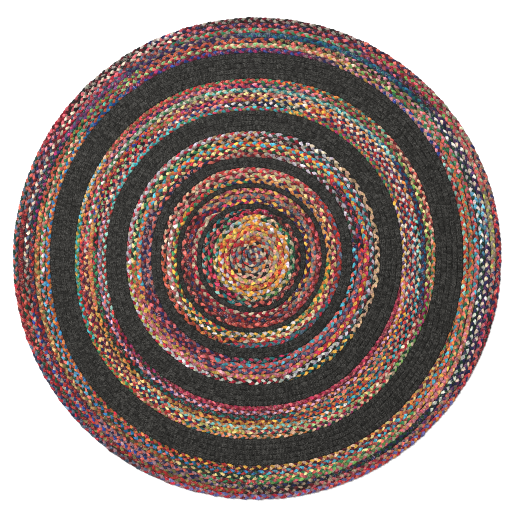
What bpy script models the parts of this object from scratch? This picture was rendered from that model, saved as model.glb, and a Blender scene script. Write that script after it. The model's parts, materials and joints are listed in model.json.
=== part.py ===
"""Round braided rug: lengths of three-strand braid coiled flat, edge to edge, and sewn together.

Six lengths of many-coloured cotton rag braid alternate with five lengths of charcoal jute braid. Each length is one
closed solid: a flat coil with a rounded ridge along every turn and a flat underside. The turns run as nearly closed
rings, and step out by one braid's width within a short stretch, where the coil's first turn tapers in from nothing
and its last turn tapers out. Metres, +Z up, origin under the middle of the rug.
"""

import math
from collections import namedtuple

import bmesh
import bpy

# Driving dimensions.
RUG_WIDTH = 1.500  # across X
RUG_DEPTH = 1.480  # across Y
CREST = 0.0100  # top of a braid
VALLEY = 0.0070  # the sewn line between two turns
EDGE = 0.0058  # the edge that one length turns to the next
GAP = 0.0003  # between two lengths

MEAN_RADIUS = (RUG_WIDTH + RUG_DEPTH) / 4
OVAL = (RUG_WIDTH - RUG_DEPTH) / (RUG_WIDTH + RUG_DEPTH)
OVAL_FROM = 0.620  # turns inside this radius are round

# Each length from the middle outwards: how many turns, the radius that it is coiled out to, which way it runs from
# the middle, the angle from +X where its turns start to step out, the share of a turn that the step takes, and how
# many straight facets make one turn. The angles are whole facets apart, so that the coils' corners meet.
CLOCKWISE, ANTICLOCKWISE = -1, 1
Length = namedtuple("Length", "name fibre turns outer way step_deg step_share facets")
LENGTHS = (
    Length("braid_01_cotton", "cotton", 9, 0.1535, CLOCKWISE, 120, 0.10, 30),
    Length("braid_02_jute", "jute", 1, 0.1675, CLOCKWISE, 84, 0.05, 30),
    Length("braid_03_cotton", "cotton", 3, 0.2173, ANTICLOCKWISE, 120, 0.05, 30),
    Length("braid_04_jute", "jute", 1, 0.2305, CLOCKWISE, 264, 0.05, 30),
    Length("braid_05_cotton", "cotton", 3, 0.2796, CLOCKWISE, 264, 0.05, 60),
    Length("braid_06_jute", "jute", 2, 0.3104, CLOCKWISE, 330, 0.05, 60),
    Length("braid_07_cotton", "cotton", 5, 0.3924, CLOCKWISE, 300, 0.05, 60),
    Length("braid_08_jute", "jute", 4, 0.4568, CLOCKWISE, 324, 0.05, 60),
    Length("braid_09_cotton", "cotton", 7, 0.5576, CLOCKWISE, 354, 0.04, 60),
    Length("braid_10_jute", "jute", 5, 0.6370, CLOCKWISE, 348, 0.04, 60),
    Length("braid_11_cotton", "cotton", 7, MEAN_RADIUS, CLOCKWISE, 348, 0.05, 60),
)

# The sewing pulled the rings off centre: where a ring of this radius has its own centre.
Drift = namedtuple("Drift", "radius x y")
DRIFTS = (
    Drift(0.000, -0.0110, 0.0085),
    Drift(0.070, -0.0180, 0.0020),
    Drift(0.168, -0.0180, 0.0010),
    Drift(0.300, -0.0175, 0.0025),
    Drift(0.400, -0.0120, 0.0020),
    Drift(0.560, -0.0070, -0.0005),
    Drift(0.640, -0.0025, -0.0010),
    Drift(MEAN_RADIUS, 0.0, 0.0),
)

# Hand sewing also leaves the rings a little out of round: by how much, every 30 degrees from +X, on the rings that
# wander most, and what share of it a ring of each radius has.
WANDER = (-0.0018, 0.0034, 0.0005, -0.0055, 0.0032, 0.0014, -0.0049, 0.0041, 0.0, -0.0020, 0.0050, -0.0028)
Share = namedtuple("Share", "radius amount")
WANDER_SHARES = (
    Share(0.000, 0.0),
    Share(0.300, 0.5),
    Share(0.550, 1.0),
    Share(0.640, 1.0),
    Share(MEAN_RADIUS, 0.0),
)

COLOURS = {"cotton": (0.33, 0.12, 0.09, 1.0), "jute": (0.030, 0.029, 0.026, 1.0)}
ROUGHNESS = {"cotton": 0.85, "jute": 0.90}


def between(table, radius, column):
    """Read a column of a table of radii, along straight lines between its rows."""
    for low, high in zip(table, table[1:]):
        if radius <= high.radius:
            share = (radius - low.radius) / (high.radius - low.radius)
            return getattr(low, column) * (1 - share) + getattr(high, column) * share
    return getattr(table[-1], column)


def smooth(share):
    """Ease from 0 to 1 with level ends."""
    share = min(max(share, 0.0), 1.0)
    return share * share * (3 - 2 * share)


def wander(angle):
    """How far a ring is out of round at an angle: eased between the values of WANDER."""
    spot = math.degrees(angle) % 360 / 360 * len(WANDER)
    first = int(spot) % len(WANDER)
    share = smooth(spot - int(spot))
    return WANDER[first] * (1 - share) + WANDER[(first + 1) % len(WANDER)] * share


def place(radius, angle):
    """The point of a ring at an angle, with the drift, the oval of the rim and the wander."""
    oval = OVAL * smooth((radius - OVAL_FROM) / (MEAN_RADIUS - OVAL_FROM))
    reach = radius * (1 + oval * math.cos(2 * angle)) + wander(angle) * between(WANDER_SHARES, radius, "amount")
    x = between(DRIFTS, radius, "x") + reach * math.cos(angle)
    y = between(DRIFTS, radius, "y") + reach * math.sin(angle)
    return x, y


def station(length, inner, facet):
    """The points across a coil at one facet's end: a valley, then a crest and a valley for each turn.

    A turn's two valleys move out by one turn along the step. There the first turn widens from nothing, and one
    more turn, the last, narrows to nothing.
    """
    run = facet / length.facets
    angle = math.radians(length.step_deg) + length.way * 2 * math.pi * run
    stepped = smooth(run / length.step_share)
    low, high = inner + GAP / 2 if inner else 0.0, length.outer - GAP / 2
    valleys = [min(max(turn - 1 + stepped, 0.0), length.turns) for turn in range(length.turns + 2)]

    def point(turn, height):
        radius = low + (high - low) * turn / length.turns
        return (*place(radius, angle), height)

    def valley_height(turn):
        return EDGE if turn in (0, length.turns) else VALLEY

    points = [point(valleys[0], valley_height(valleys[0]))]
    for near, far in zip(valleys, valleys[1:]):
        sides = (valley_height(near) + valley_height(far)) / 2
        points.append(point((near + far) / 2, sides + (CREST - sides) * (far - near)))
        points.append(point(far, valley_height(far)))
    return points


def coil_mesh(length, inner):
    """One closed mesh for a length: its ridged top, its two edges and its flat underside."""
    bm = bmesh.new()
    tops = [[bm.verts.new(p) for p in station(length, inner, facet)] for facet in range(length.facets)]
    feet = [[bm.verts.new((v.co.x, v.co.y, 0.0)) for v in (row[0], row[-1])] for row in tops]
    for facet, (row, foot) in enumerate(zip(tops, feet)):
        after = (facet + 1) % length.facets
        shift = 2 if after == 0 else 0  # a full turn on, each turn lies where the next one starts
        following, next_foot = tops[after], feet[after]
        for line in range(len(row) - 1 - shift):
            bm.faces.new((row[line], row[line + 1], following[line + 1 + shift], following[line + shift]))
        bm.faces.new((row[-1], foot[1], next_foot[1], following[-1]))
        bm.faces.new((foot[0], next_foot[0], next_foot[1], foot[1]))
        if inner:
            bm.faces.new((row[0], following[0], next_foot[0], foot[0]))
    bmesh.ops.remove_doubles(bm, verts=bm.verts, dist=0.00001)
    bmesh.ops.recalc_face_normals(bm, faces=bm.faces)
    mesh = bpy.data.meshes.new(length.name)
    bm.to_mesh(mesh)
    bm.free()
    mesh.shade_smooth()
    mesh.set_sharp_from_angle(angle=math.radians(50))
    return mesh


def fibre_material(fibre):
    """A plain matt finish in the fibre's own colour."""
    material = bpy.data.materials.new(fibre)
    material.use_nodes = True
    shader = material.node_tree.nodes["Principled BSDF"]
    shader.inputs["Base Color"].default_value = COLOURS[fibre]
    shader.inputs["Roughness"].default_value = ROUGHNESS[fibre]
    shader.inputs["Metallic"].default_value = 0.0
    return material


def main():
    for old in list(bpy.data.objects):
        bpy.data.objects.remove(old, do_unlink=True)
    rug = bpy.data.collections.new("braided_rug")
    bpy.context.scene.collection.children.link(rug)
    materials = {fibre: fibre_material(fibre) for fibre in COLOURS}
    inner = 0.0
    for length in LENGTHS:
        mesh = coil_mesh(length, inner)
        mesh.materials.append(materials[length.fibre])
        rug.objects.link(bpy.data.objects.new(length.name, mesh))
        inner = length.outer


main()
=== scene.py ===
"""Round braided rug: the looks of its eleven lengths of three-strand braid.

Every length is plaited from three strands that follow its coil. Cotton strands are rag strips, sewn end to
end in the dyes that the rag chart gives, and jute strands are bundles of charcoal yarn. A dark web low
between the strands stands for the thread that laces the turns together and paints the shade in the gaps.
"""

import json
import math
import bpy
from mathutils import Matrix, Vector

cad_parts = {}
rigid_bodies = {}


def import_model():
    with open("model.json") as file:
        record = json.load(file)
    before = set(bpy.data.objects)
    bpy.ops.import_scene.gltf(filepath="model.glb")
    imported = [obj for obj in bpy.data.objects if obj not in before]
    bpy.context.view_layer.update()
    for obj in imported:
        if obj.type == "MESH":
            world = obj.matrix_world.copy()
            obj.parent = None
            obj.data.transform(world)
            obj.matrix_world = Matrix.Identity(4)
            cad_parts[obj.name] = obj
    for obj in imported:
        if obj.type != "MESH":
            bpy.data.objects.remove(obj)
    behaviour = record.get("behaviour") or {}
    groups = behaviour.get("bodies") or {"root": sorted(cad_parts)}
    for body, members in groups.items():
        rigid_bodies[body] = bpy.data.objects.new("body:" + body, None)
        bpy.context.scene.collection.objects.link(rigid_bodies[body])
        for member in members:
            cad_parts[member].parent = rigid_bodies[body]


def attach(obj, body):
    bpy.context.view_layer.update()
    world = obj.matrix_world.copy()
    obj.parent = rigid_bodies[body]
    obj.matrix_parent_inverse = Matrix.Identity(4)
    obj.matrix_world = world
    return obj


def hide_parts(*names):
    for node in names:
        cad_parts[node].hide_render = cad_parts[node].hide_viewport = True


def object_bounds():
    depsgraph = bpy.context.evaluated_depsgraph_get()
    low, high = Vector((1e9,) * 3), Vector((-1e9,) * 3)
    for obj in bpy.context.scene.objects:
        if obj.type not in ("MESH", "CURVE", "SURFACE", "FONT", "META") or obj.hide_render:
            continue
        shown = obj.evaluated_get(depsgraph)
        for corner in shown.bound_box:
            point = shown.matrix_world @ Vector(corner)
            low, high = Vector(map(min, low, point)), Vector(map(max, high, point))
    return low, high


bl_info = {
    "name": "Braided rug",
    "version": (1, 0, 0),
    "blender": (4, 5, 0),
    "location": "View3D > Sidebar > Rug",
    "description": "Plaits the lengths of a round braided rug, dyes and laces them, and lights them",
    "category": "Object",
}

from collections import namedtuple

import bpy
import numpy as np
from bpy.props import FloatProperty, FloatVectorProperty, IntProperty, PointerProperty
from bpy.types import Operator, Panel, PropertyGroup
from mathutils import Matrix

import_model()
CAD_LOW, CAD_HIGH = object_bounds()

# The coils, as the solids have them, in metres.
RUG_WIDTH = 1.500
RUG_DEPTH = 1.480
THICKNESS = CAD_HIGH.z
GAP = 0.0003  # between two lengths
MEAN_RADIUS = (RUG_WIDTH + RUG_DEPTH) / 4
OVAL = (RUG_WIDTH - RUG_DEPTH) / (RUG_WIDTH + RUG_DEPTH)
OVAL_FROM = 0.620  # turns inside this radius are round

# Each length from the middle outwards: its fibre and turns, the radius that it is coiled out to, which way it
# runs from the middle, the angle from +X where its turns start to step out and the share of a turn that the
# step takes.
CLOCKWISE, ANTICLOCKWISE = -1, 1
Length = namedtuple("Length", "name fibre turns outer way step_deg step_share")
LENGTHS = (
    Length("braid_01_cotton", "cotton", 9, 0.1535, CLOCKWISE, 120, 0.10),
    Length("braid_02_jute", "jute", 1, 0.1675, CLOCKWISE, 84, 0.05),
    Length("braid_03_cotton", "cotton", 3, 0.2173, ANTICLOCKWISE, 120, 0.05),
    Length("braid_04_jute", "jute", 1, 0.2305, CLOCKWISE, 264, 0.05),
    Length("braid_05_cotton", "cotton", 3, 0.2796, CLOCKWISE, 264, 0.05),
    Length("braid_06_jute", "jute", 2, 0.3104, CLOCKWISE, 330, 0.05),
    Length("braid_07_cotton", "cotton", 5, 0.3924, CLOCKWISE, 300, 0.05),
    Length("braid_08_jute", "jute", 4, 0.4568, CLOCKWISE, 324, 0.05),
    Length("braid_09_cotton", "cotton", 7, 0.5576, CLOCKWISE, 354, 0.04),
    Length("braid_10_jute", "jute", 5, 0.6370, CLOCKWISE, 348, 0.04),
    Length("braid_11_cotton", "cotton", 7, MEAN_RADIUS, CLOCKWISE, 348, 0.05),
)

# Where a ring of each radius has its own centre, how far the rings are out of round every 30 degrees from +X
# and the share of that which a ring of each radius has.
DRIFT_RADIUS = (0.000, 0.070, 0.168, 0.300, 0.400, 0.560, 0.640, MEAN_RADIUS)
DRIFT_X = (-0.0110, -0.0180, -0.0180, -0.0175, -0.0120, -0.0070, -0.0025, 0.0)
DRIFT_Y = (0.0085, 0.0020, 0.0010, 0.0025, 0.0020, -0.0005, -0.0010, 0.0)
WANDER = (-0.0018, 0.0034, 0.0005, -0.0055, 0.0032, 0.0014, -0.0049, 0.0041, 0.0, -0.0020, 0.0050, -0.0028)
WANDER_RADIUS = (0.000, 0.300, 0.550, 0.640, MEAN_RADIUS)
WANDER_SHARE = (0.0, 0.5, 1.0, 1.0, 0.0)

# Dyes of the rag strips, as red, green and blue from 0 to 255.
DYES = {
    "apple": (151, 197, 129),
    "apricot": (223, 166, 104),
    "aqua": (122, 203, 194),
    "beige": (196, 176, 145),
    "black": (28, 26, 25),
    "blue": (44, 124, 180),
    "bottle": (20, 62, 44),
    "brick": (158, 50, 42),
    "brown": (90, 52, 42),
    "chalk": (212, 218, 202),
    "coral": (206, 96, 84),
    "cream": (224, 200, 174),
    "crimson": (174, 34, 54),
    "cyan": (74, 172, 194),
    "gold": (231, 172, 68),
    "green": (54, 128, 82),
    "grey": (158, 148, 136),
    "khaki": (158, 132, 108),
    "leaf": (104, 152, 76),
    "lilac": (200, 190, 202),
    "lime": (182, 184, 90),
    "magenta": (158, 44, 96),
    "maroon": (100, 24, 36),
    "mauve": (154, 116, 122),
    "mint": (140, 200, 186),
    "mustard": (188, 148, 66),
    "navy": (36, 39, 80),
    "olive": (122, 114, 66),
    "orange": (211, 124, 58),
    "orchid": (224, 172, 202),
    "peach": (222, 180, 146),
    "periwinkle": (102, 104, 164),
    "petrol": (26, 92, 128),
    "pink": (216, 132, 146),
    "plum": (80, 34, 60),
    "purple": (88, 48, 92),
    "raspberry": (184, 48, 84),
    "red": (186, 48, 46),
    "rose": (202, 92, 100),
    "royal": (34, 62, 138),
    "rust": (180, 80, 44),
    "sage": (154, 160, 128),
    "salmon": (226, 148, 132),
    "seagreen": (70, 138, 114),
    "sky": (88, 160, 188),
    "slate": (80, 98, 118),
    "straw": (236, 208, 134),
    "tan": (185, 150, 110),
    "teal": (26, 100, 102),
    "turquoise": (60, 166, 176),
    "white": (226, 214, 207),
    "wine": (120, 24, 40),
    "yellow": (242, 208, 92),
}

# The rag chart: an entry for each turn of a cotton length, in the order in which it is coiled. A rag run is
# the angle where it starts, going the way that the coil runs, and the dyes of its three strands. A strand
# whose dye carries on isn't joined.
RAG_CHART = {
    "braid_01_cotton": (
        "120 slate wine peach",
        "120 slate wine beige, 0 slate brick beige, 180 brick red slate",
        "120 orange beige black, 30 beige red black, 330 beige orange slate, 240 red beige slate,"
        " 190 slate brick beige",
        "120 brick orange beige, 92 rust orange red, 60 slate beige brick, 10 rust orange beige,"
        " 340 beige black salmon, 240 black beige orange, 216 brick beige slate, 170 red crimson beige",
        "120 yellow salmon grey, 330 yellow salmon beige, 230 yellow coral brick, 160 yellow coral red",
        "120 red orange gold, 60 red orange grey, 25 red orange gold, 250 red gold lilac,"
        " 170 red orange gold, 150 yellow gold red",
        "120 gold lilac orange, 250 gold lilac olive, 205 bottle beige gold, 178 turquoise coral bottle,"
        " 165 green beige orange, 140 bottle beige lilac",
        "120 bottle beige aqua, 105 orange gold beige, 78 bottle beige green, 60 bottle beige peach,"
        " 52 bottle green orange, 28 bottle beige green, 330 bottle beige gold, 310 bottle beige leaf,"
        " 290 orange bottle beige, 270 beige green maroon, 250 raspberry crimson black,"
        " 190 raspberry green black, 165 raspberry coral black, 140 raspberry green black",
        "120 raspberry crimson black, 63 maroon black brown, 43 coral maroon black, 268 coral mint black,"
        " 260 coral teal black, 226 coral mint black, 218 coral teal black, 188 coral mint black,"
        " 180 coral teal black, 150 coral mint black, 142 coral teal black",
        "120 coral teal black",
    ),
    "braid_03_cotton": (
        "120 beige crimson khaki, 163 beige crimson maroon, 305 gold navy maroon, 84 gold navy raspberry",
        "120 crimson navy maroon, 150 brick navy maroon, 290 coral maroon slate, 310 coral slate khaki",
        "120 coral slate tan, 138 coral black maroon, 245 coral brick maroon, 300 rose brick maroon,"
        " 40 rose mustard maroon",
        "120 rose mustard maroon",
    ),
    "braid_05_cotton": (
        "264 teal gold crimson, 215 green gold maroon, 150 green red gold, 137 green red maroon,"
        " 124 green orange navy, 88 orange navy apricot, 2 gold green orange, 305 gold bottle white",
        "264 gold bottle white, 215 white rose khaki, 152 gold rose maroon, 146 beige maroon rose,"
        " 91 beige straw crimson, 50 straw rose maroon, 320 cream red straw, 285 orange cream red",
        "264 orange red black, 235 coral rust black, 172 coral peach black, 128 coral beige red,"
        " 100 red beige rose, 47 red brick slate, 332 crimson teal slate",
        "264 crimson teal slate",
    ),
    "braid_07_cotton": (
        "300 raspberry teal black, 260 rose navy maroon, 200 mauve navy coral, 155 coral navy black,"
        " 113 coral grey maroon, 78 grey maroon lilac, 58 lilac maroon bottle, 8 cyan maroon navy,"
        " 352 cyan coral black, 322 cyan coral rose",
        "300 cyan coral rose, 250 rose coral maroon, 240 rose navy maroon, 200 mauve navy maroon,"
        " 152 straw bottle crimson, 45 purple red black, 0 slate purple coral",
        "300 coral purple slate, 240 purple coral mustard, 200 cyan orange coral, 125 cyan gold red,"
        " 10 gold raspberry red",
        "300 gold raspberry pink, 285 pink mustard rose, 197 coral leaf orange, 180 straw green black,"
        " 112 orange black grey, 85 grey black maroon, 68 teal lilac maroon, 318 chalk lilac black",
        "300 chalk lilac black, 285 chalk crimson black, 250 chalk crimson lilac, 225 lilac lime crimson,"
        " 180 lilac grey crimson, 108 lilac tan crimson, 88 lilac crimson bottle, 66 cream lilac black,"
        " 48 peach tan black, 324 gold teal black",
        "300 teal gold black",
    ),
    "braid_09_cotton": (
        "354 raspberry rose wine, 237 magenta maroon bottle, 222 magenta crimson black,"
        " 206 mint red brown, 160 teal red aqua, 150 turquoise red aqua, 120 turquoise coral green,"
        " 105 olive raspberry turquoise, 80 turquoise gold olive, 72 orange green magenta,"
        " 36 orange green purple, 20 white gold purple",
        "354 gold orchid coral, 335 orchid orange plum, 283 orchid coral plum, 250 orchid coral navy,"
        " 200 coral orchid slate, 165 cream navy coral, 144 cream red navy, 123 cream coral royal,"
        " 102 white navy black, 80 cream teal black, 73 beige navy red",
        "354 cream slate red, 345 gold petrol red, 330 apricot teal coral, 285 bottle teal wine,"
        " 240 bottle maroon teal, 225 bottle red black, 200 bottle maroon green,"
        " 180 crimson bottle black, 170 apple crimson black, 135 leaf coral rust, 118 coral magenta navy,"
        " 100 coral orange magenta, 90 gold navy cream, 71 red orange gold, 60 cream red navy,"
        " 45 white purple red, 16 white petrol red",
        "354 red beige navy, 327 gold coral slate, 313 red petrol orange, 280 gold orange maroon,"
        " 255 orange mustard maroon, 240 orange straw maroon, 225 orange mustard black,"
        " 200 orange apricot coral, 168 royal tan orange, 155 orange red maroon, 137 orange red royal,"
        " 127 straw mauve maroon, 104 straw salmon maroon, 82 coral navy cream, 68 cream orange navy,"
        " 20 cream bottle red, 12 aqua peach black",
        "354 turquoise cream black, 345 turquoise coral black, 315 turquoise orange petrol,"
        " 300 orange teal white, 285 aqua orange beige, 240 coral aqua navy, 225 apricot plum maroon,"
        " 180 white coral plum, 172 white raspberry green, 150 sage green white, 110 green beige aqua,"
        " 98 aqua teal beige, 53 aqua petrol beige, 35 petrol maroon navy",
        "354 petrol maroon navy, 343 maroon purple coral, 338 crimson cream coral,"
        " 315 crimson apple apricot, 300 crimson apple peach, 286 crimson peach teal,"
        " 268 lime straw orange, 253 straw red navy, 212 straw red plum, 197 red plum coral,"
        " 175 orange plum coral, 145 pink navy coral, 132 magenta coral navy, 118 pink purple coral,"
        " 102 rose raspberry navy, 90 pink green navy, 75 coral bottle pink, 66 rose leaf maroon,"
        " 40 coral green maroon, 35 leaf straw maroon",
        "354 magenta lime maroon, 350 leaf maroon magenta, 333 leaf beige bottle,"
        " 320 green peach crimson, 308 peach bottle magenta, 288 peach bottle orange,"
        " 268 orange teal salmon, 255 salmon gold teal, 243 salmon red olive, 225 red green mustard,"
        " 210 turquoise red green, 190 turquoise green mustard, 167 sky mustard peach,"
        " 144 olive coral red, 118 red green coral, 108 red green coral, 80 teal orange red,"
        " 72 orange seagreen brown, 46 coral peach maroon, 8 salmon orange green",
        "354 salmon orange green",
    ),
    "braid_11_cotton": (
        "348 orange green maroon, 330 straw plum orange, 300 gold peach maroon, 271 gold maroon black,"
        " 262 gold red black, 247 orange crimson bottle, 218 blue orange rust, 160 apricot rust blue,"
        " 143 petrol rust royal, 127 royal magenta maroon, 100 royal magenta plum, 77 navy mauve plum,"
        " 68 navy pink mustard, 57 royal pink khaki, 29 mint coral maroon, 14 mint orange red",
        "348 cyan coral orange, 312 cyan coral plum, 271 blue red bottle, 255 blue coral bottle,"
        " 222 sky coral bottle, 185 lilac coral leaf, 172 coral peach green, 143 coral seagreen maroon,"
        " 127 coral apple maroon, 100 coral peach apple, 77 coral peach mustard, 66 peach maroon leaf,"
        " 50 coral tan green, 40 cream coral green, 30 coral orange seagreen, 0 orange seagreen coral",
        "348 apricot green coral, 330 gold pink coral, 318 straw green coral, 270 straw bottle black,"
        " 257 straw brown bottle, 245 olive rust brown, 225 apricot olive maroon, 205 apricot olive rust,"
        " 180 orange olive coral, 165 rust coral bottle, 145 rust purple leaf, 120 coral rust navy,"
        " 90 coral black olive, 70 pink olive black, 40 green pink coral, 20 maroon coral rose,"
        " 12 cyan coral wine, 0 cyan pink coral",
        "348 pink apricot coral, 330 pink apricot rose, 308 leaf sage rose, 292 leaf green rose,"
        " 270 red green maroon, 258 coral navy mauve, 222 red navy maroon, 174 magenta bottle navy,"
        " 150 purple magenta slate, 122 purple navy khaki, 98 teal navy slate, 87 teal petrol navy,"
        " 45 teal bottle navy, 38 white bottle navy, 14 white sky bottle, 0 chalk bottle navy",
        "348 chalk bottle navy, 318 navy bottle black, 300 navy maroon bottle, 287 navy khaki black,"
        " 270 olive navy mauve, 245 royal mauve coral, 224 royal grey red, 193 red grey black,"
        " 180 cream slate maroon, 152 cream crimson maroon, 145 rose crimson slate,"
        " 128 coral maroon slate, 110 green red grey, 66 rose purple maroon, 52 purple wine black,"
        " 38 cream purple navy, 14 cream sky purple, 0 cream purple navy",
        "348 cream purple navy, 328 khaki coral purple, 300 khaki rose maroon, 285 khaki maroon black,"
        " 270 red olive brick, 245 red olive maroon, 224 red bottle maroon, 200 coral brick bottle,"
        " 187 brick maroon wine, 172 coral maroon slate, 160 pink maroon navy, 145 rose black cream,"
        " 110 rose navy maroon, 62 leaf rose crimson, 36 sage rose coral, 15 khaki grey lime,"
        " 0 coral grey navy",
        "348 raspberry rose navy, 335 coral crimson navy, 328 orange periwinkle crimson,"
        " 300 crimson periwinkle coral, 285 periwinkle crimson mauve, 242 maroon slate mauve,"
        " 228 crimson navy slate, 200 crimson coral maroon, 187 slate coral bottle,"
        " 155 maroon rose crimson, 140 maroon grey black, 118 white rose navy, 105 maroon black grey,"
        " 62 navy coral maroon, 50 sage rose maroon, 28 khaki coral navy, 17 khaki rose navy,"
        " 13 crimson navy coral",
        "348 crimson black maroon",
    ),
}

# The strands.
STRANDS = 3
SIDES = 6  # points round a strand
SECTION_POWER = 0.85  # 1 makes a strand's section an oval, and less squares it
POINTS_A_TURN = 720  # on the line that a coil's strands are set out from
LEAST_FULLNESS = 0.15  # share of its thickness that a strand keeps where its row tapers to nothing
LEAST_HALF_WIDTH = 0.0006  # of a strand there
FIRST_SEED = 11

# How uneven the strands are: the amount, and how many random draws there are in one plait cycle.
Unevenness = namedtuple("Unevenness", "amount draws")
UNEVEN_SLIP = Unevenness(0.9, 0.5)  # radians that the crossings slip along the row
UNEVEN_SWING = Unevenness(0.13, 2)  # share of the swing
UNEVEN_WIDTH = Unevenness(0.18, 2.5)  # share of a strand's width
UNEVEN_THICKNESS = Unevenness(0.05, 2)  # share of a strand's thickness

# The dyeing.
GAMMA = 2.2  # turns a dye's share of 255 into the light that it reflects
DARKEST_RAG, LIGHTEST_RAG = 0.002, 0.95
SHADE_STATIONS = 4  # from one random shade of a rag to the next
JOIN_SHIFT = 0.01  # turns that a rag's join may lie from where the chart has it
PRINT_INK = (0.78, 0.70, 0.62, 1.0)  # colour of the flecks
LACING_CONTRAST = 3  # how many times as light as its dye the lacing gets

# The web that laces the turns together and paints the shade in the gaps between the strands, in metres.
LACING_RINGS, LACING_AROUND = 24, 120
LACING_TOP = 0.0042
LACING_THICKNESS = 0.0012
LACING_MARGIN = 0.004  # from the rim, and around the middle
SMOOTH_UP_TO = math.radians(50)  # between two faces, and the web's rim is sharper

# The stage, in metres.
FLOOR_SIDES = 96
FLOOR_RADIUS = 30.0
FLOOR_DROP = 0.0005  # from the rug's underside to the floor
LAMP_SIZE = 2.4
LAMP_PLACE = (-1.2, 1.6, 3.6)
SENSOR_WIDTH = 36.0  # millimetres
PICTURE_PIXELS = 515
CAMERA_SHIFT = (0.4, 0.8)  # pixels that the middle of the photo lies right of and above the rug's


def plait_settings(cycle, swing, lift, strand_width, strand_thickness, rings):
    """The settings of one fibre's plait, with that fibre's defaults."""

    def share(name, default, description):
        return FloatProperty(name=name, description=description, default=default, subtype="FACTOR")

    return {
        "cycle": FloatProperty(
            name="Plait cycle",
            description="Length in which a strand crosses over and back, as a multiple of the braid's width",
            default=cycle,
        ),
        "swing": share(
            "Side swing", swing, "How far a strand swings to either side, as a share of the braid's width"
        ),
        "lift": share(
            "Lift", lift, "How far a strand's middle rises and dips, as a share of the rug's thickness"
        ),
        "strand_width": share(
            "Strand width", strand_width, "Width of one strand, as a share of the braid's width"
        ),
        "strand_thickness": share(
            "Strand thickness", strand_thickness, "Thickness of one strand, as a share of the rug's thickness"
        ),
        "rings": IntProperty(name="Rings", description="Rings of points in one plait cycle", default=rings),
    }


class CottonPlait(PropertyGroup):
    """How the rag strands are plaited."""

    __annotations__ = plait_settings(2.75, 0.245, 0.22, 0.61, 0.57, 10)


class JutePlait(PropertyGroup):
    """How the jute strands are plaited, flatter and tighter than the rags."""

    __annotations__ = plait_settings(2.05, 0.25, 0.05, 0.80, 0.74, 7)


def colour_property(name, description, default):
    """A colour setting."""
    return FloatVectorProperty(name=name, description=description, subtype="COLOR", size=3, default=default)


class RugDyes(PropertyGroup):
    """The colours that are the same all along a fibre, and how the charted dyes come out."""

    jute: colour_property("Jute", "Charcoal dye of the jute yarn", (0.0115, 0.0111, 0.0100))
    jute_fleck: colour_property("Jute fleck", "Fibres that took less of the dye", (0.048, 0.0467, 0.0435))
    # the web's colour: the thread that laces the turns, and painted shade in the gaps between the strands
    lacing: colour_property("Lacing", "Thread that laces the turns together", (0.010, 0.0095, 0.0085))
    strength: FloatProperty(
        name="Strength",
        description="How light the charted dyes of the rags come out",
        default=0.73,
        subtype="FACTOR",
    )
    unevenness: FloatProperty(
        name="Unevenness",
        description="How much lighter or darker one lobe of a rag is than the next",
        default=0.33,
        subtype="FACTOR",
    )


class RugStage(PropertyGroup):
    """The floor, the light and the camera."""

    floor: colour_property("Floor", "Colour of the floor", (0.93, 0.93, 0.93))
    sky_strength: FloatProperty(
        name="Sky strength", description="Strength of the light from all round", default=0.75
    )
    lamp_power: FloatProperty(
        name="Lamp power", description="Power of the soft box overhead", default=230.0, unit="POWER"
    )
    camera_height: FloatProperty(
        name="Camera height", description="Height of the camera over the floor", default=6.0, unit="LENGTH"
    )
    picture_width: FloatProperty(
        name="Picture width",
        description="Width of floor that the picture takes in",
        default=1.582,
        unit="LENGTH",
    )


def smooth(share):
    """Ease from 0 to 1 with level ends: three times the square less twice the cube."""
    share = np.clip(share, 0.0, 1.0)
    return share * share * (3 - 2 * share)


def unit(vectors):
    """Each vector divided by its length."""
    return vectors / np.linalg.norm(vectors, axis=-1, keepdims=True)


def random_line(rng, stations, spacing):
    """Smooth random values along a strand: normal draws every spacing stations, with an ease between them."""
    knots = rng.normal(size=int(len(stations) / spacing) + 3)
    spot = stations / spacing
    first = spot.astype(int)
    share = smooth(spot - first)
    return knots[first] * (1 - share) + knots[first + 1] * share


def uneven(rng, stations, rings, kind):
    """That kind of unevenness at each station: its amount times a smooth random value."""
    return kind.amount * random_line(rng, stations, rings / kind.draws)


def place(radius, angle):
    """Points of rings: the ring's own centre plus its reach along the angle.

    The reach is the radius, wider along X and narrower along Y near the rim, plus the share that this ring
    has of the wander, which is eased between its values every 30 degrees.
    """
    spot = np.degrees(angle) % 360 / 360 * len(WANDER)
    first = spot.astype(int) % len(WANDER)
    share = smooth(spot - np.floor(spot))
    knots = np.array(WANDER)
    wander = knots[first] * (1 - share) + knots[(first + 1) % len(WANDER)] * share
    oval = OVAL * smooth((radius - OVAL_FROM) / (MEAN_RADIUS - OVAL_FROM))
    reach = radius * (1 + oval * np.cos(2 * angle)) + wander * np.interp(radius, WANDER_RADIUS, WANDER_SHARE)
    x = np.interp(radius, DRIFT_RADIUS, DRIFT_X) + reach * np.cos(angle)
    y = np.interp(radius, DRIFT_RADIUS, DRIFT_Y) + reach * np.sin(angle)
    return np.stack([x, y], axis=-1)


def coil_line(length, inner):
    """The middle line of a length's coil, dense: turns from its start, points, distance along it and width.

    The radius is halfway between the near and the far side of the row. Both sides keep still along a turn,
    and ease out by one braid's width in its step, where the first row widens from nothing and the last one
    narrows to nothing.
    """
    end = length.turns + length.step_share
    turns = np.linspace(0, end, int(end * POINTS_A_TURN))
    row = np.floor(turns)
    stepped = smooth((turns - row) / length.step_share)
    near = np.clip(row - 1 + stepped, 0, length.turns)
    far = np.clip(row + stepped, 0, length.turns)
    low, high = inner + GAP / 2 if inner else 0.0, length.outer - GAP / 2
    pitch = (high - low) / length.turns
    angle = math.radians(length.step_deg) + length.way * 2 * math.pi * turns
    points = place(low + pitch * (near + far) / 2, angle)
    walked = np.concatenate([[0.0], np.cumsum(np.linalg.norm(np.diff(points, axis=0), axis=1))])
    return turns, points, walked, pitch * (far - near)


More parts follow.
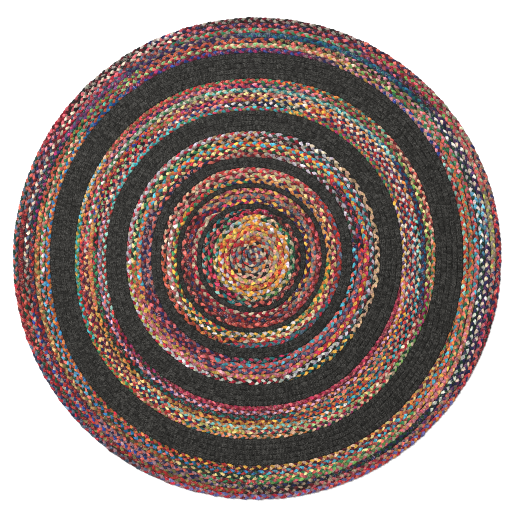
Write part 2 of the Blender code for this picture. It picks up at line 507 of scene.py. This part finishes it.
def strand_colours(length, turns, strand, rng, settings):
    """The dye at each station of a strand, from the rag chart, with each lobe a little lighter or darker.

    A dye that is in two runs one after the other stays on its strand. The other strands are joined to the new
    dyes, each join a little before or after where the chart has it. The dye is multiplied by the strength and
    by e to the power of the unevenness times a smooth random value.
    """
    starts, dyes, carried = [], [], ["", "", ""]
    for turn, line in enumerate(RAG_CHART[length.name]):
        for run in line.split(","):
            start, *names = run.split()
            new = [name for name in names if name not in carried]
            carried = [name if name in names else new.pop(0) for name in carried]
            starts.append(turn + length.way * (float(start) - length.step_deg) % 360 / 360)
            dyes.append(DYES[carried[strand]])
    starts = np.array(starts) + rng.uniform(-JOIN_SHIFT, JOIN_SHIFT, len(starts))
    starts[0] = -1.0  # the first run is on before the strand starts
    dye = (np.array(dyes)[np.searchsorted(starts, turns, side="right") - 1] / 255) ** GAMMA
    lighter = settings.unevenness * random_line(rng, np.arange(len(turns)), SHADE_STATIONS)
    shade = settings.strength * np.exp(lighter)
    return np.clip(dye * shade[:, None], DARKEST_RAG, LIGHTEST_RAG)


def tube(middle, side, up, half_width, half_thickness):
    """A tube: at each station, the middle plus the side times the cosine and up times the sine.

    Cosine and sine are raised to a power under 1, so that the section is between an oval and a box.
    """
    around = np.arange(SIDES) / SIDES * 2 * math.pi
    across = np.sign(np.cos(around)) * np.abs(np.cos(around)) ** SECTION_POWER
    above = np.sign(np.sin(around)) * np.abs(np.sin(around)) ** SECTION_POWER
    points = (
        middle[:, None]
        + side[:, None] * (half_width[:, None] * across)[..., None]
        + up[:, None] * (half_thickness[:, None] * above)[..., None]
    )
    ring = np.arange(len(middle) - 1)[:, None] * SIDES
    here = np.arange(SIDES)[None]
    after = (here + 1) % SIDES
    quads = np.stack([ring + here, ring + after, ring + after + SIDES, ring + here + SIDES], axis=-1)
    return points.reshape(-1, 3), quads.reshape(-1, 4)


def strand_mesh(name, points, quads, along, colours):
    """One strand's mesh: its quads and two end caps, a map of along and around, and its dye on the points."""
    first_cap = np.arange(SIDES)[::-1]
    last_cap = np.arange(SIDES) + len(points) - SIDES
    corners = np.concatenate([quads.ravel(), first_cap, last_cap])
    sizes = np.concatenate([np.full(len(quads), 4), np.full(2, SIDES)])
    mesh = bpy.data.meshes.new(name)
    mesh.vertices.add(len(points))
    mesh.vertices.foreach_set("co", points.ravel())
    mesh.loops.add(len(corners))
    mesh.loops.foreach_set("vertex_index", corners)
    mesh.polygons.add(len(sizes))
    mesh.polygons.foreach_set("loop_start", np.concatenate([[0], np.cumsum(sizes)[:-1]]))
    mesh.polygons.foreach_set("loop_total", sizes)
    mesh.update(calc_edges=True)
    mesh.validate()
    mesh.shade_smooth()
    around = corners % SIDES / SIDES
    closing = quads[:, 1] % SIDES == 0  # these quads end at 1, where the map starts again from 0
    around[: quads.size].reshape(-1, 4)[closing, 1:3] = 1.0
    strand_map = np.stack([along[corners // SIDES], around], axis=-1)
    mesh.uv_layers.new(name="Strand").data.foreach_set("uv", strand_map.ravel().astype(np.float32))
    if colours is not None:
        dye = mesh.color_attributes.new(name="Dye", type="FLOAT_COLOR", domain="POINT")
        rgba = np.ones((len(points), 4), np.float32)
        rgba[:, :3] = np.repeat(colours, SIDES, axis=0)
        dye.data.foreach_set("color", rgba.ravel())
    return mesh


def show(piece_name, mesh, material, nodes):
    """Put a finished mesh in the scene, riding on the rug in place of its solids."""
    mesh.materials.append(material)
    piece = bpy.data.objects.new(piece_name, mesh)
    bpy.context.scene.collection.objects.link(piece)
    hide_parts(*nodes)
    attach(piece, "root")
    return piece


Row = namedtuple("Row", "at turns line left width fullness cycles slip")


def braid_row(length, inner, sizes, rng):
    """The stations of a length's strands, evenly spaced along its coil.

    Each has its distance and its turns from the start, its point, the direction to its left, the row's width,
    how full the strands are, how many plait cycles have gone by and how far the crossings slip there.
    """
    dense_turns, dense_points, walked, dense_width = coil_line(length, inner)
    cycles = round(walked[-1] / (sizes.cycle * dense_width.max()))
    if cycles < 1:
        raise RuntimeError(f"{length.name} is shorter than one plait cycle")
    at = np.linspace(0, walked[-1], cycles * sizes.rings + 1)
    line = np.stack([np.interp(at, walked, dense_points[:, axis]) for axis in range(2)], axis=-1)
    width = np.interp(at, walked, dense_width)
    forward = unit(np.gradient(line, axis=0))
    return Row(
        at=at,
        turns=np.interp(at, walked, dense_turns),
        line=line,
        left=np.stack([-forward[:, 1], forward[:, 0]], axis=-1),
        width=width,
        fullness=LEAST_FULLNESS + (1 - LEAST_FULLNESS) * width / width.max(),
        cycles=cycles * at / walked[-1],
        slip=uneven(rng, np.arange(len(at)), sizes.rings, UNEVEN_SLIP),
    )


def strand_shape(row, strand, sizes, rng):
    """The points and quads of one strand.

    A strand's middle is the coil's line, plus the swing times the sine of its phase to the left, plus the
    lift times the sine of twice its phase upwards. The phase grows by a full turn in each cycle, with the
    slip added, and the strands are a third of a cycle apart. Small smooth random values make the lobes
    uneven.
    """
    station = np.arange(len(row.at))
    phase = 2 * math.pi * (row.cycles + strand / STRANDS) + row.slip
    swing = sizes.swing * row.width * (1 + uneven(rng, station, sizes.rings, UNEVEN_SWING))
    lift = sizes.lift * THICKNESS * row.fullness
    middle = np.empty((len(station), 3))
    middle[:, :2] = row.line + row.left * (swing * np.sin(phase))[:, None]
    middle[:, 2] = THICKNESS / 2 + lift * np.sin(2 * phase)
    run = unit(np.gradient(middle, axis=0))
    side = unit(np.stack([-run[:, 1], run[:, 0], np.zeros(len(station))], axis=-1))
    widening = 1 + uneven(rng, station, sizes.rings, UNEVEN_WIDTH)
    half_width = np.maximum(sizes.strand_width / 2 * row.width * widening, LEAST_HALF_WIDTH)
    thinning = 1 - np.abs(uneven(rng, station, sizes.rings, UNEVEN_THICKNESS))
    half_thickness = sizes.strand_thickness / 2 * THICKNESS * row.fullness * thinning
    points, quads = tube(middle, side, np.cross(run, side), half_width, half_thickness)
    points[:, 2] = np.maximum(points[:, 2], 0.0)
    return points, quads


def plait(length, inner, sizes, dyes, material):
    """Plait one length from three strands along its coil."""
    rng = np.random.default_rng(FIRST_SEED + LENGTHS.index(length))
    row = braid_row(length, inner, sizes, rng)
    for strand in range(STRANDS):
        points, quads = strand_shape(row, strand, sizes, rng)
        colours = None
        if length.fibre == "cotton":
            colours = strand_colours(length, row.turns, strand, rng, dyes)
        name = f"{length.name[:8]}_strand_{strand + 1}"
        show(name, strand_mesh(name, points, quads, row.at, colours), material, [length.name])


def plait_fibre(scene, fibre, sizes, material):
    """Plait every length of one fibre."""
    inner = 0.0
    for length in LENGTHS:
        if length.fibre == fibre:
            plait(length, inner, sizes, scene.rug_dyes, material)
        inner = length.outer


def lacing_and_painted_shade_mesh():
    """The web, a thin closed disc low between the strands for the thread that laces the turns and for painted
    shade in the gaps: rings of points around the rug's middle.

    The rings are evenly spaced out to just inside the rim, and drift, wander and turn oval as the coils do.
    The top and the underside are the same grid, a thread's thickness apart.
    """
    radius = np.linspace(LACING_MARGIN, MEAN_RADIUS - LACING_MARGIN, LACING_RINGS)
    angle = np.arange(LACING_AROUND) / LACING_AROUND * 2 * math.pi
    flat = place(*np.meshgrid(radius, angle, indexing="ij"))
    top = np.concatenate([flat, np.full(flat.shape[:2] + (1,), LACING_TOP)], axis=-1)
    low = top - np.array([0.0, 0.0, LACING_THICKNESS])
    points = np.concatenate([top.reshape(-1, 3), low.reshape(-1, 3)])
    down = LACING_RINGS * LACING_AROUND  # from a point of the top to the one under it
    ring = np.arange(LACING_RINGS - 1)[:, None] * LACING_AROUND
    here = np.arange(LACING_AROUND)
    after = (here + 1) % LACING_AROUND
    wider = ring + LACING_AROUND
    faces = np.stack([ring + here, wider + here, wider + after, ring + after], axis=-1).reshape(-1, 4)
    rim = down - LACING_AROUND + here
    rim_after = down - LACING_AROUND + after
    side = np.stack([rim, rim + down, rim_after + down, rim_after], axis=-1)
    quads = np.concatenate([faces, faces[:, ::-1] + down, side])
    caps = [here.tolist(), (here[::-1] + down).tolist()]
    mesh = bpy.data.meshes.new("lacing")
    mesh.from_pydata(points.tolist(), [], [*quads.tolist(), *caps])
    mesh.shade_smooth()
    mesh.set_sharp_from_angle(angle=SMOOTH_UP_TO)
    return mesh


def feed(tree, node, sources):
    """Give a node's inputs, by name or by place, what goes into each: a socket or a value."""
    for name, source in sources.items():
        if isinstance(source, bpy.types.NodeSocket):
            tree.links.new(source, node.inputs[name])
        else:
            node.inputs[name].default_value = source


def add(tree, kind, sources=None, **settings):
    """A new node of a kind, with its settings and what goes into its inputs."""
    node = tree.nodes.new(f"ShaderNode{kind}")
    for setting, value in settings.items():
        setattr(node, setting, value)
    feed(tree, node, sources or {})
    return node


def maths(tree, operation, *values):
    """The result of an operation on up to three sockets or values."""
    return add(tree, "Math", dict(enumerate(values)), operation=operation).outputs[0]


def ranged(tree, value, start, end, low=0.0, high=1.0, **settings):
    """A value brought from between start and end to between low and high, and kept there."""
    limits = {"Value": value, "From Min": start, "From Max": end, "To Min": low, "To Max": high}
    return add(tree, "MapRange", limits, **settings).outputs["Result"]


def noise(tree, vector, scale, detail, **more):
    """A noise texture: its value and its colour."""
    made = add(tree, "TexNoise", {"Vector": vector, "Scale": scale, "Detail": detail, **more})
    return made.outputs["Fac"], made.outputs["Color"]


def stretched(tree, vector, scale):
    """A vector with each of its parts multiplied."""
    return add(tree, "Mapping", {"Vector": vector, "Scale": scale}).outputs[0]


def mixed(tree, share, first, second):
    """A colour between two others."""
    first_place, second_place, result_place = 6, 7, 2  # the Mix node's sockets for colours
    sources = {"Factor": share, first_place: first, second_place: second}
    return add(tree, "Mix", sources, data_type="RGBA").outputs[result_place]


def scaled(tree, colour, factor):
    """A colour multiplied by a number."""
    return add(tree, "VectorMath", {0: colour, "Scale": factor}, operation="SCALE").outputs["Vector"]


def group(name, inputs, outputs):
    """A new shader node group: its inputs with their defaults, and its outputs with their kinds."""
    tree = bpy.data.node_groups.new(name, "ShaderNodeTree")
    for socket, default in inputs.items():
        kind = "NodeSocketVector" if socket == "Vector" else "NodeSocketFloat"
        made = tree.interface.new_socket(socket, in_out="INPUT", socket_type=kind)
        if default is not None:
            made.default_value = default
    for socket, kind in outputs.items():
        tree.interface.new_socket(socket, in_out="OUTPUT", socket_type=f"NodeSocket{kind}")
    return tree, tree.nodes.new("NodeGroupInput").outputs, tree.nodes.new("NodeGroupOutput")


def rag_cloth_group():
    """Rag cloth: folds along the strand, a plain weave and flecks of print.

    It gives a height, a mask and a colour factor. The folds are waves around the strand, bent by noise along
    it. The weave is two fine crossed waves multiplied. The flecks are where noise that is stretched along the
    strand passes a limit, on the lengths of cloth that a slow noise along the strand picks out as printed.
    The colour factor is mottled, with painted shade down in the folds and painted light on their crests.
    """
    tree, given, put = group(
        "Rag cloth",
        {"Vector": None, "Folds": 3.0, "Threads": 5200.0, "Flecks": 0.5},
        {"Height": "Float", "Fleck": "Float", "Shade": "Color"},
    )
    fold_bend, weft_threads, weave_height = 0.55, 36, 0.12
    along, around, _ = add(tree, "SeparateXYZ", {"Vector": given["Vector"]}).outputs
    bend, _ = noise(tree, given["Vector"], scale=60.0, detail=2.0)
    bent = maths(tree, "MULTIPLY_ADD", bend, fold_bend, around)
    turned = maths(tree, "MULTIPLY", bent, given["Folds"])
    folds = maths(tree, "SINE", maths(tree, "MULTIPLY", turned, 2 * math.pi))
    warp = maths(tree, "SINE", maths(tree, "MULTIPLY", along, given["Threads"]))
    weft = maths(tree, "SINE", maths(tree, "MULTIPLY", around, 2 * math.pi * weft_threads))
    weave = maths(tree, "MULTIPLY", warp, weft)
    height = maths(tree, "MULTIPLY_ADD", weave, weave_height, folds)

    drawn = stretched(tree, given["Vector"], (1.0, 0.012, 1.0))
    prints, _ = noise(tree, drawn, scale=9.0, detail=0.0)
    printed = ranged(tree, prints, 0.42, 0.54, high=given["Flecks"])
    specks, _ = noise(tree, drawn, scale=420.0, detail=3.0)
    fleck = ranged(tree, specks, 0.56, 0.70, high=printed)

    mottle, mottle_colour = noise(tree, drawn, scale=230.0, detail=1.0)
    light = ranged(tree, mottle, 0.3, 0.7, low=1.1, high=2.8)
    # painted shade down in the folds and painted light on their crests
    painted_fold_shade = ranged(tree, folds, -1.0, 1.0, low=0.72, high=1.12)
    tint = mixed(tree, 0.3, (0.5, 0.5, 0.5, 1.0), mottle_colour)
    shade = scaled(tree, tint, maths(tree, "MULTIPLY", light, painted_fold_shade))
    feed(tree, put, {"Height": height, "Fleck": fleck, "Shade": shade})
    return tree


def painted_depth_shade_group():
    """Painted shade between the strands, as a factor: darkest at the middle height and 1 on the crests.

    The factor eases up to 1 with the distance above or below the middle height, and is 1 on the rim, which is
    where the place, divided by half the rug's width and depth, is nearly 1 long.
    """
    tree, given, put = group(
        "Depth",
        {"Vector": None, "Middle": 0.0038, "Reach": 0.0042, "Darkest": 0.4},
        {"Shade": "Float"},
    )
    rim_start, rim_end = 0.991, 0.996
    _, _, height = add(tree, "SeparateXYZ", {"Vector": given["Vector"]}).outputs
    away = maths(tree, "ABSOLUTE", maths(tree, "SUBTRACT", height, given["Middle"]))
    ramp = ranged(tree, away, 0.0, given["Reach"], low=given["Darkest"], interpolation_type="SMOOTHSTEP")
    flat = stretched(tree, given["Vector"], (2 / RUG_WIDTH, 2 / RUG_DEPTH, 0.0))
    reach = add(tree, "VectorMath", {0: flat}, operation="LENGTH").outputs["Value"]
    rim = ranged(tree, reach, rim_start, rim_end)
    # painted shade: darkest at the middle height between the strands, none on the crests, underneath or at
    # the rim
    feed(tree, put, {"Shade": maths(tree, "MAXIMUM", ramp, rim)})
    return tree


def yarn_group():
    """Jute yarns: ridges that wind slowly round the strand, each patch with its own depth of dye, and fibres.

    The place across the yarns is the place around the strand plus the twist times the distance along it. The
    ridges are a wave of that place. The tone is the square of one random value to a cell, and the fibres are
    noise, both drawn out along the yarns.
    """
    tree, given, put = group(
        "Yarn",
        {"Vector": None, "Yarns": 9.0, "Twist": 10.0},
        {"Height": "Float", "Fibre": "Float", "Tone": "Float"},
    )
    fibre_height = 0.6
    along, around, _ = add(tree, "SeparateXYZ", {"Vector": given["Vector"]}).outputs
    across = maths(tree, "MULTIPLY_ADD", along, given["Twist"], around)
    ridge = maths(tree, "MULTIPLY", across, given["Yarns"])
    wave = maths(tree, "SINE", maths(tree, "MULTIPLY", ridge, 2 * math.pi))
    laid = add(tree, "CombineXYZ", {"X": along, "Y": across}).outputs[0]
    fibres, _ = noise(tree, stretched(tree, laid, (220.0, 44.0, 1.0)), scale=1.0, detail=3.0, Roughness=0.6)
    height = maths(tree, "MULTIPLY_ADD", fibres, fibre_height, wave)
    patches = stretched(tree, laid, (240.0, 16.0, 1.0))
    cells = add(tree, "TexVoronoi", {"Vector": patches, "Scale": 1.0})
    random_value, *_ = add(tree, "SeparateColor", {"Color": cells.outputs["Color"]}).outputs
    tone = ranged(tree, maths(tree, "POWER", random_value, 2.0), 0.0, 1.0, low=0.5, high=2.25)
    feed(tree, put, {"Height": height, "Fibre": fibres, "Tone": tone})
    return tree


def shared_group(tree, name, vector, **inputs):
    """A node of the shared group of that name, which is made the first time that it is asked for."""
    makers = {"Rag cloth": rag_cloth_group, "Depth": painted_depth_shade_group, "Yarn": yarn_group}
    shared = bpy.data.node_groups.get(name) or makers[name]()
    return add(tree, "Group", {"Vector": vector, **inputs}, node_tree=shared).outputs


def new_material(name, roughness, sheen, specular):
    """A matt Principled material, with its node tree and shader."""
    material = bpy.data.materials.new(name)
    material.use_nodes = True
    shader = material.node_tree.nodes["Principled BSDF"]
    shader.inputs["Metallic"].default_value = 0.0
    shader.inputs["Roughness"].default_value = roughness
    shader.inputs["Specular IOR Level"].default_value = specular
    shader.inputs["Sheen Weight"].default_value = sheen
    shader.inputs["Sheen Roughness"].default_value = 0.5
    return material, material.node_tree, shader


def finish_material(tree, shader, colour, height, strength, distance):
    """Put a colour on the shader, and a bump of a height."""
    bump = add(tree, "Bump", {"Height": height, "Strength": strength, "Distance": distance})
    feed(tree, shader, {"Base Color": colour, "Normal": bump.outputs["Normal"]})


def cotton_material():
    """Rag cotton: the strand's dye with painted shade low between the strands, folds with painted shade and
    light on them, weave and flecks of print.
    """
    material, tree, shader = new_material("Rag cotton", roughness=0.88, sheen=0.08, specular=0.2)
    strand_map = add(tree, "UVMap", uv_map="Strand").outputs["UV"]
    spot = add(tree, "TexCoord").outputs["Object"]
    cloth = shared_group(tree, "Rag cloth", strand_map)
    depth = shared_group(tree, "Depth", spot)
    dye = add(tree, "VertexColor", layer_name="Dye").outputs["Color"]
    printed = mixed(tree, cloth["Fleck"], dye, PRINT_INK)
    mottled = add(tree, "VectorMath", {0: printed, 1: cloth["Shade"]}, operation="MULTIPLY").outputs["Vector"]
    # painted shade low between the strands
    shaded = scaled(tree, mottled, depth["Shade"])
    finish_material(tree, shader, shaded, cloth["Height"], strength=0.7, distance=0.0008)
    return material


def jute_material(dyes):
    """Charcoal jute: twisted yarns with pale fibres, with a little painted shade low between the strands."""
    material, tree, shader = new_material("Charcoal jute", roughness=0.95, sheen=0.0, specular=0.08)
    strand_map = add(tree, "UVMap", uv_map="Strand").outputs["UV"]
    spot = add(tree, "TexCoord").outputs["Object"]
    yarn = shared_group(tree, "Yarn", strand_map)
    # a little painted shade low between the strands
    depth = shared_group(tree, "Depth", spot, Darkest=0.9)
    pale = ranged(tree, yarn["Fibre"], 0.42, 0.68)
    fibre = mixed(tree, pale, (*dyes.jute, 1.0), (*dyes.jute_fleck, 1.0))
    shaded = scaled(tree, scaled(tree, fibre, yarn["Tone"]), depth["Shade"])
    finish_material(tree, shader, shaded, yarn["Height"], strength=1.0, distance=0.0005)
    return material


def lacing_and_painted_shade_material(dyes):
    """Lacing and painted shade: dark thread with a fine grain, on the web that fills the gaps between the
    strands.
    """
    material, tree, shader = new_material("Lacing thread", roughness=0.9, sheen=0.0, specular=0.05)
    spot = add(tree, "TexCoord").outputs["Object"]
    grain, _ = noise(tree, spot, scale=700.0, detail=3.0)
    lighter = [LACING_CONTRAST * value for value in dyes.lacing]
    thread = mixed(tree, grain, (*dyes.lacing, 1.0), (*lighter, 1.0))
    finish_material(tree, shader, thread, grain, strength=0.5, distance=0.0004)
    return material


def lay_floor(stage):
    """A wide pale disc just under the rug."""
    bpy.ops.mesh.primitive_circle_add(
        vertices=FLOOR_SIDES, radius=FLOOR_RADIUS, fill_type="NGON", location=(0, 0, 0)
    )
    floor = bpy.context.object
    floor.name = "floor"
    floor.data.transform(Matrix.Translation((0, 0, -FLOOR_DROP)))
    material, _, shader = new_material("Floor paint", roughness=0.9, sheen=0.0, specular=0.1)
    shader.inputs["Base Color"].default_value = (*stage.floor, 1.0)
    floor.data.materials.append(material)


def light_scene(scene, stage):
    """White light from all round, and a round soft box overhead that faces the middle of the rug."""
    world = bpy.data.worlds.new("Studio")
    world.use_nodes = True
    background = world.node_tree.nodes["Background"]
    background.inputs["Color"].default_value = (1.0, 1.0, 1.0, 1.0)
    background.inputs["Strength"].default_value = stage.sky_strength
    scene.world = world
    box = bpy.data.lights.new("Soft box", "AREA")
    box.shape = "DISK"
    box.size = LAMP_SIZE
    box.energy = stage.lamp_power
    lamp = bpy.data.objects.new("Soft box", box)
    lamp.location = LAMP_PLACE
    lamp.rotation_euler = (-lamp.location).to_track_quat("-Z", "Y").to_euler()
    scene.collection.objects.link(lamp)


def aim_camera(scene, stage):
    """A camera straight above the rug: the lens takes in the picture's width from the camera's height.

    The pixel filter and the denoiser are set so that they leave the grain of the yarn in the picture.
    """
    lens = bpy.data.cameras.new("Camera")
    lens.sensor_width = SENSOR_WIDTH
    lens.lens = SENSOR_WIDTH * stage.camera_height / stage.picture_width
    camera = bpy.data.objects.new("Camera", lens)
    right, above = (pixels * (stage.picture_width / PICTURE_PIXELS) for pixels in CAMERA_SHIFT)
    camera.location = (right, above, stage.camera_height)
    scene.collection.objects.link(camera)
    scene.camera = camera
    scene.view_settings.view_transform = "Standard"
    scene.cycles.filter_width = 1.0
    scene.cycles.denoising_prefilter = "NONE"


class RUG_OT_cotton_braids(Operator):
    """Plait the six lengths of rag cotton braid in their charted dyes"""

    bl_idname = "rug.cotton_braids"
    bl_label = "Cotton braids"

    def execute(self, context):
        scene = context.scene
        plait_fibre(scene, "cotton", scene.rug_cotton, cotton_material())
        return {"FINISHED"}


class RUG_OT_jute_braids(Operator):
    """Plait the five lengths of charcoal jute braid"""

    bl_idname = "rug.jute_braids"
    bl_label = "Jute braids"

    def execute(self, context):
        scene = context.scene
        plait_fibre(scene, "jute", scene.rug_jute, jute_material(scene.rug_dyes))
        return {"FINISHED"}


class RUG_OT_lacing_and_painted_shade(Operator):
    """Lace the turns together with a thin dark web low between the strands, which paints the shade in the
    gaps
    """

    bl_idname = "rug.lacing"
    bl_label = "Lacing"
    # the web stands for the thread that laces the turns, and paints the shade in the gaps

    def execute(self, context):
        strands = [piece for piece in context.scene.objects if "_strand_" in piece.name]
        if not strands:
            raise RuntimeError("the braids come before the lacing")
        nodes = [length.name for length in LENGTHS]
        material = lacing_and_painted_shade_material(context.scene.rug_dyes)
        piece = show("lacing", lacing_and_painted_shade_mesh(), material, nodes)
        return {"FINISHED"}


class RUG_OT_stage(Operator):
    """Lay a plain pale floor, with soft light and a camera straight above the rug"""

    bl_idname = "rug.stage"
    bl_label = "Stage"

    def execute(self, context):
        scene = context.scene
        lay_floor(scene.rug_stage)
        light_scene(scene, scene.rug_stage)
        aim_camera(scene, scene.rug_stage)
        return {"FINISHED"}


class RUG_PT_panel(Panel):
    """Lists the steps of the rug and its sizes and colours"""

    bl_label = "Braided rug"
    bl_idname = "RUG_PT_panel"
    bl_space_type = "VIEW_3D"
    bl_region_type = "UI"
    bl_category = "Rug"

    def draw(self, context):
        scene = context.scene
        for settings in (scene.rug_cotton, scene.rug_jute, scene.rug_dyes, scene.rug_stage):
            box = self.layout.box()
            for name in settings.__annotations__:
                box.prop(settings, name)
        for operator in OPERATORS:
            self.layout.operator(operator.bl_idname)


OPERATORS = (RUG_OT_cotton_braids, RUG_OT_jute_braids, RUG_OT_lacing_and_painted_shade, RUG_OT_stage)
SETTINGS = {"rug_cotton": CottonPlait, "rug_jute": JutePlait, "rug_dyes": RugDyes, "rug_stage": RugStage}
CLASSES = (*SETTINGS.values(), *OPERATORS, RUG_PT_panel)


def register():
    """Register the classes, and hang the settings on the scene."""
    for made in CLASSES:
        bpy.utils.register_class(made)
    for name, settings in SETTINGS.items():
        setattr(bpy.types.Scene, name, PointerProperty(type=settings))


def unregister():
    """Take the settings off the scene, and unregister the classes."""
    for name in SETTINGS:
        delattr(bpy.types.Scene, name)
    for made in reversed(CLASSES):
        bpy.utils.unregister_class(made)


def main():
    """Make every piece and the stage in order."""
    register()
    bpy.ops.rug.cotton_braids()
    bpy.ops.rug.jute_braids()
    bpy.ops.rug.lacing()
    bpy.ops.rug.stage()


if __name__ == "__main__":
    main()
